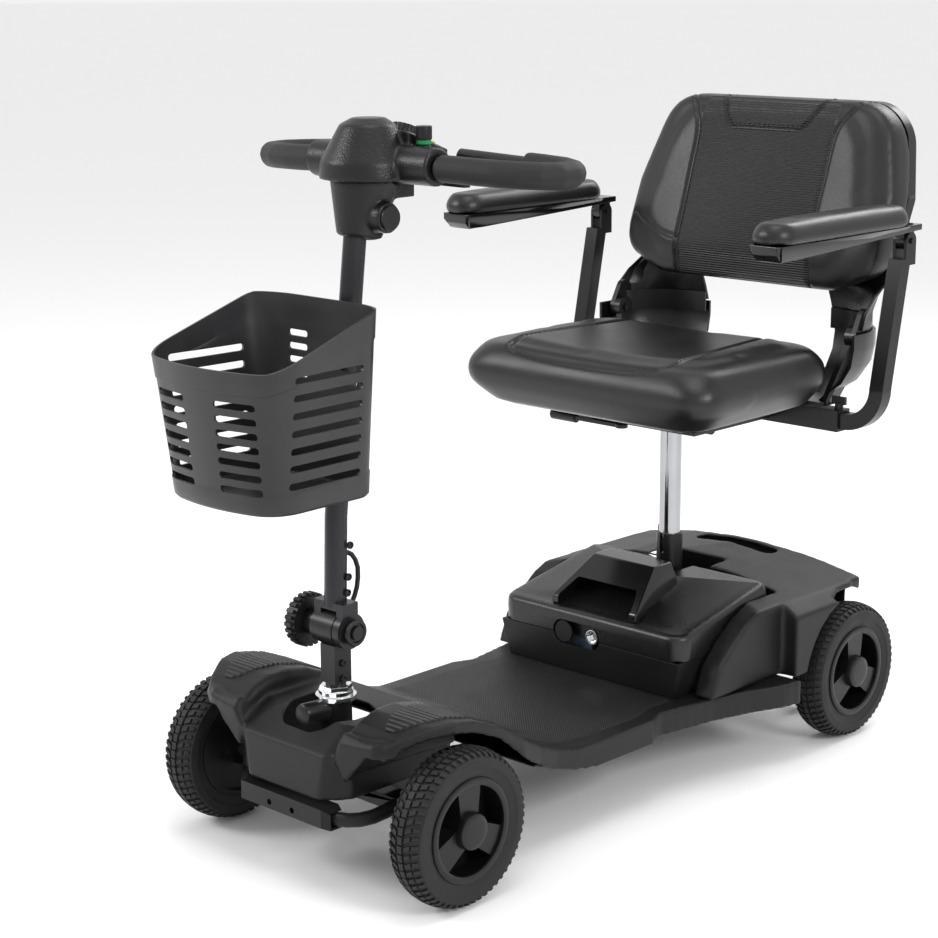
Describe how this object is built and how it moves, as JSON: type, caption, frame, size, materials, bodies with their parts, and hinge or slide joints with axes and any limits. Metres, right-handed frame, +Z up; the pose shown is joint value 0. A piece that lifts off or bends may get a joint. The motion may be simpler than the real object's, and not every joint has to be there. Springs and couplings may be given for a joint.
{
  "type": "mobility scooter",
  "caption": "Four-wheeled travel mobility scooter with a tilting tiller, front basket, lift-out battery box, swivel seat, folding backrest and flip-up armrests.",
  "frame": {"origin": "on the ground under the middle of the whole length and width", "axes": "+Z up, -Y towards the front, +X towards the rider's left"},
  "size_m": [0.61, 1.1732, 0.931],
  "materials": {
    "frame_steel": "satin black powder coat",
    "shroud_plastic": "textured moulded plastic",
    "mat_rubber": "fine grained non-slip mat",
    "chrome": "bright chrome",
    "cast_metal": "cast, dark",
    "motor_metal": "dark painted",
    "red_plastic": "red moulded plastic",
    "green_plastic": "green collar",
    "yellow_plastic": "yellow button",
    "fine_plastic": "fine textured moulded plastic",
    "gloss_black": "semi-gloss black",
    "foam": "closed cell foam",
    "tyre_rubber": "solid tyre",
    "rim_plastic": "moulded rim",
    "vinyl": "grained vinyl with ribbed fabric panels",
    "cell_wrap": "cell pack wrap",
    "cable_rubber": "cable sheath"
  },
  "bodies": {
    "chassis": {"front_frame": "frame_steel", "front_shroud": "shroud_plastic", "foot_mats": "mat_rubber", "front_bumper": "shroud_plastic", "rear_frame": "frame_steel", "rear_shroud": "shroud_plastic", "transaxle": "cast_metal", "drive_motor": "motor_metal", "controller": "cast_metal", "anti_tip_bracket": "frame_steel"},
    "anti_tip": {"anti_tip_wheels": "fine_plastic"},
    "freewheel": {"freewheel_lever": "red_plastic"},
    "stem": {"steering_stem": "frame_steel", "headset_nuts": "chrome"},
    "tiller": {"tiller_tube": "frame_steel", "head_lower": "fine_plastic", "head_upper": "fine_plastic", "handlebar": "frame_steel", "foam_grips": "foam", "console_fittings": "green_plastic", "basket_bracket": "frame_steel", "tiller_harness": "cable_rubber", "fasteners": "frame_steel"},
    "tilt_clamp": {"tension_knob": "fine_plastic"},
    "throttle": {"throttle_lever": "fine_plastic"},
    "dial": {"speed_dial": "fine_plastic"},
    "key": {"ignition_key": "fine_plastic"},
    "horn": {"horn_button": "yellow_plastic"},
    "basket_body": {"basket": "shroud_plastic"},
    "knuckle_l": {"knuckle_left": "cast_metal"},
    "knuckle_r": {"knuckle_right": "cast_metal"},
    "track": {"track_rod": "frame_steel"},
    "wheel_front_left": {"tyre_front_left": "tyre_rubber", "rim_front_left": "rim_plastic"},
    "wheel_front_right": {"tyre_front_right": "tyre_rubber", "rim_front_right": "rim_plastic"},
    "wheel_rear_left": {"tyre_rear_left": "tyre_rubber", "rim_rear_left": "rim_plastic"},
    "wheel_rear_right": {"tyre_rear_right": "tyre_rubber", "rim_rear_right": "rim_plastic"},
    "battery": {"battery_case": "fine_plastic", "battery_lid": "gloss_black", "battery_cells": "cell_wrap", "charge_socket": "chrome"},
    "charge_flap": {"charge_cover": "fine_plastic"},
    "post": {"seat_post": "chrome"},
    "swivel_handle": {"swivel_lever": "frame_steel"},
    "seat": {"seat_base": "frame_steel", "seat_pan": "gloss_black", "seat_cushion": "vinyl"},
    "back": {"backrest_shell": "gloss_black", "backrest_pad": "vinyl"},
    "arm_left": {"arm_tube_left": "frame_steel"},
    "rest_left": {"armrest_left": "gloss_black", "arm_pad_left": "vinyl"},
    "clamp_left": {"wing_knob_left": "fine_plastic"},
    "arm_right": {"arm_tube_right": "frame_steel"},
    "rest_right": {"armrest_right": "gloss_black", "arm_pad_right": "vinyl"},
    "clamp_right": {"wing_knob_right": "fine_plastic"}
  },
  "joints": [
    {"name": "steering", "type": "hinge", "parent": "chassis", "child": "stem", "pos_m": [0, -0.369, 0.15], "axis": [0, 0, 1], "range_deg": [-30, 30]},
    {"name": "knuckle_left_turn", "type": "hinge", "parent": "chassis", "child": "knuckle_l", "pos_m": [0.168, -0.367, 0.1], "axis": [0, 0, 1], "range_deg": [-30, 30]},
    {"name": "knuckle_right_turn", "type": "hinge", "parent": "chassis", "child": "knuckle_r", "pos_m": [-0.168, -0.367, 0.1], "axis": [0, 0, 1], "range_deg": [-30, 30]},
    {"name": "track_rod_pivot", "type": "hinge", "parent": "stem", "child": "track", "pos_m": [0, -0.309, 0.09], "axis": [0, 0, 1], "range_deg": [-30, 30]},
    {"name": "wheel_front_left_spin", "type": "hinge", "parent": "knuckle_l", "child": "wheel_front_left", "pos_m": [0.21, -0.367, 0.1], "axis": [1, 0, 0], "continuous": true},
    {"name": "wheel_front_right_spin", "type": "hinge", "parent": "knuckle_r", "child": "wheel_front_right", "pos_m": [-0.21, -0.367, 0.1], "axis": [1, 0, 0], "continuous": true},
    {"name": "wheel_rear_left_spin", "type": "hinge", "parent": "chassis", "child": "wheel_rear_left", "pos_m": [0.2055, 0.449, 0.1], "axis": [1, 0, 0], "continuous": true},
    {"name": "wheel_rear_right_spin", "type": "hinge", "parent": "chassis", "child": "wheel_rear_right", "pos_m": [-0.2055, 0.449, 0.1], "axis": [1, 0, 0], "continuous": true},
    {"name": "anti_tip_spin", "type": "hinge", "parent": "chassis", "child": "anti_tip", "pos_m": [0, 0.507, 0.03], "axis": [1, 0, 0], "continuous": true},
    {"name": "freewheel_throw", "type": "hinge", "parent": "chassis", "child": "freewheel", "pos_m": [-0.06, 0.358, 0.196], "axis": [-1, 0, 0], "range_deg": [-14, 14]},
    {"name": "tiller_tilt", "type": "hinge", "parent": "stem", "child": "tiller", "pos_m": [0, -0.365, 0.305], "axis": [-1, 0, 0], "range_deg": [-8, 18]},
    {"name": "tension_knob_turn", "type": "hinge", "parent": "tiller", "child": "tilt_clamp", "pos_m": [-0.054, -0.365, 0.305], "axis": [1, 0, 0], "range_deg": [-180, 180]},
    {"name": "throttle", "type": "hinge", "parent": "tiller", "child": "throttle", "pos_m": [0, -0.231, 0.86], "axis": [0, 0, 1], "range_deg": [-18, 18], "stiffness_Nm_per_rad": 0.5},
    {"name": "speed_dial_turn", "type": "hinge", "parent": "tiller", "child": "dial", "pos_m": [0, -0.241, 0.90228], "axis": [0, 0.3396, 0.9406], "range_deg": [-135, 135]},
    {"name": "key_turn", "type": "hinge", "parent": "tiller", "child": "key", "pos_m": [0.062, -0.265, 0.905], "axis": [0, 0, 1], "range_deg": [0, 90]},
    {"name": "horn_press", "type": "slide", "parent": "tiller", "child": "horn", "axis": [0, -0.3396, -0.9406], "range_m": [0, 0.003], "stiffness_N_per_m": 200},
    {"name": "basket_lift", "type": "slide", "parent": "tiller", "child": "basket_body", "axis": [0, 0, 1], "range_m": [0, 0.12]},
    {"name": "battery_lift", "type": "slide", "parent": "chassis", "child": "battery", "axis": [0, 0, 1], "range_m": [0, 0.15]},
    {"name": "charge_cover_slide", "type": "slide", "parent": "battery", "child": "charge_flap", "axis": [1, 0, 0], "range_m": [0, 0.048]},
    {"name": "seat_height", "type": "slide", "parent": "chassis", "child": "post", "axis": [0, 0, 1], "range_m": [0, 0.075]},
    {"name": "seat_swivel", "type": "hinge", "parent": "post", "child": "seat", "pos_m": [0, 0.296, 0.468], "axis": [0, 0, -1], "range_deg": [-90, 90]},
    {"name": "swivel_lever_lift", "type": "hinge", "parent": "seat", "child": "swivel_handle", "pos_m": [-0.02, 0.208, 0.469], "axis": [0, 0, 1], "range_deg": [0, 15], "stiffness_Nm_per_rad": 1},
    {"name": "backrest_fold", "type": "hinge", "parent": "seat", "child": "back", "pos_m": [0, 0.438, 0.593], "axis": [1, 0, 0], "range_deg": [0, 90]},
    {"name": "armrest_left_lift", "type": "hinge", "parent": "arm_left", "child": "rest_left", "pos_m": [0.275, 0.46, 0.7335], "axis": [-1, 0, 0], "range_deg": [0, 95]},
    {"name": "arm_left_width", "type": "slide", "parent": "seat", "child": "arm_left", "axis": [1, 0, 0], "range_m": [0, 0.05]},
    {"name": "clamp_left_turn", "type": "hinge", "parent": "seat", "child": "clamp_left", "pos_m": [0.208, 0.413, 0.5], "axis": [0, 0, 1], "range_deg": [-180, 180]},
    {"name": "armrest_right_lift", "type": "hinge", "parent": "arm_right", "child": "rest_right", "pos_m": [-0.275, 0.46, 0.7335], "axis": [-1, 0, 0], "range_deg": [0, 95]},
    {"name": "arm_right_width", "type": "slide", "parent": "seat", "child": "arm_right", "axis": [-1, 0, 0], "range_m": [0, 0.05]},
    {"name": "clamp_right_turn", "type": "hinge", "parent": "seat", "child": "clamp_right", "pos_m": [-0.208, 0.413, 0.5], "axis": [0, 0, 1], "range_deg": [-180, 180]}
  ],
  "couplings": [
    {"joint": "knuckle_left_turn", "follows": "steering", "ratio": 1},
    {"joint": "knuckle_right_turn", "follows": "steering", "ratio": 1},
    {"joint": "track_rod_pivot", "follows": "steering", "ratio": -1}
  ]
}
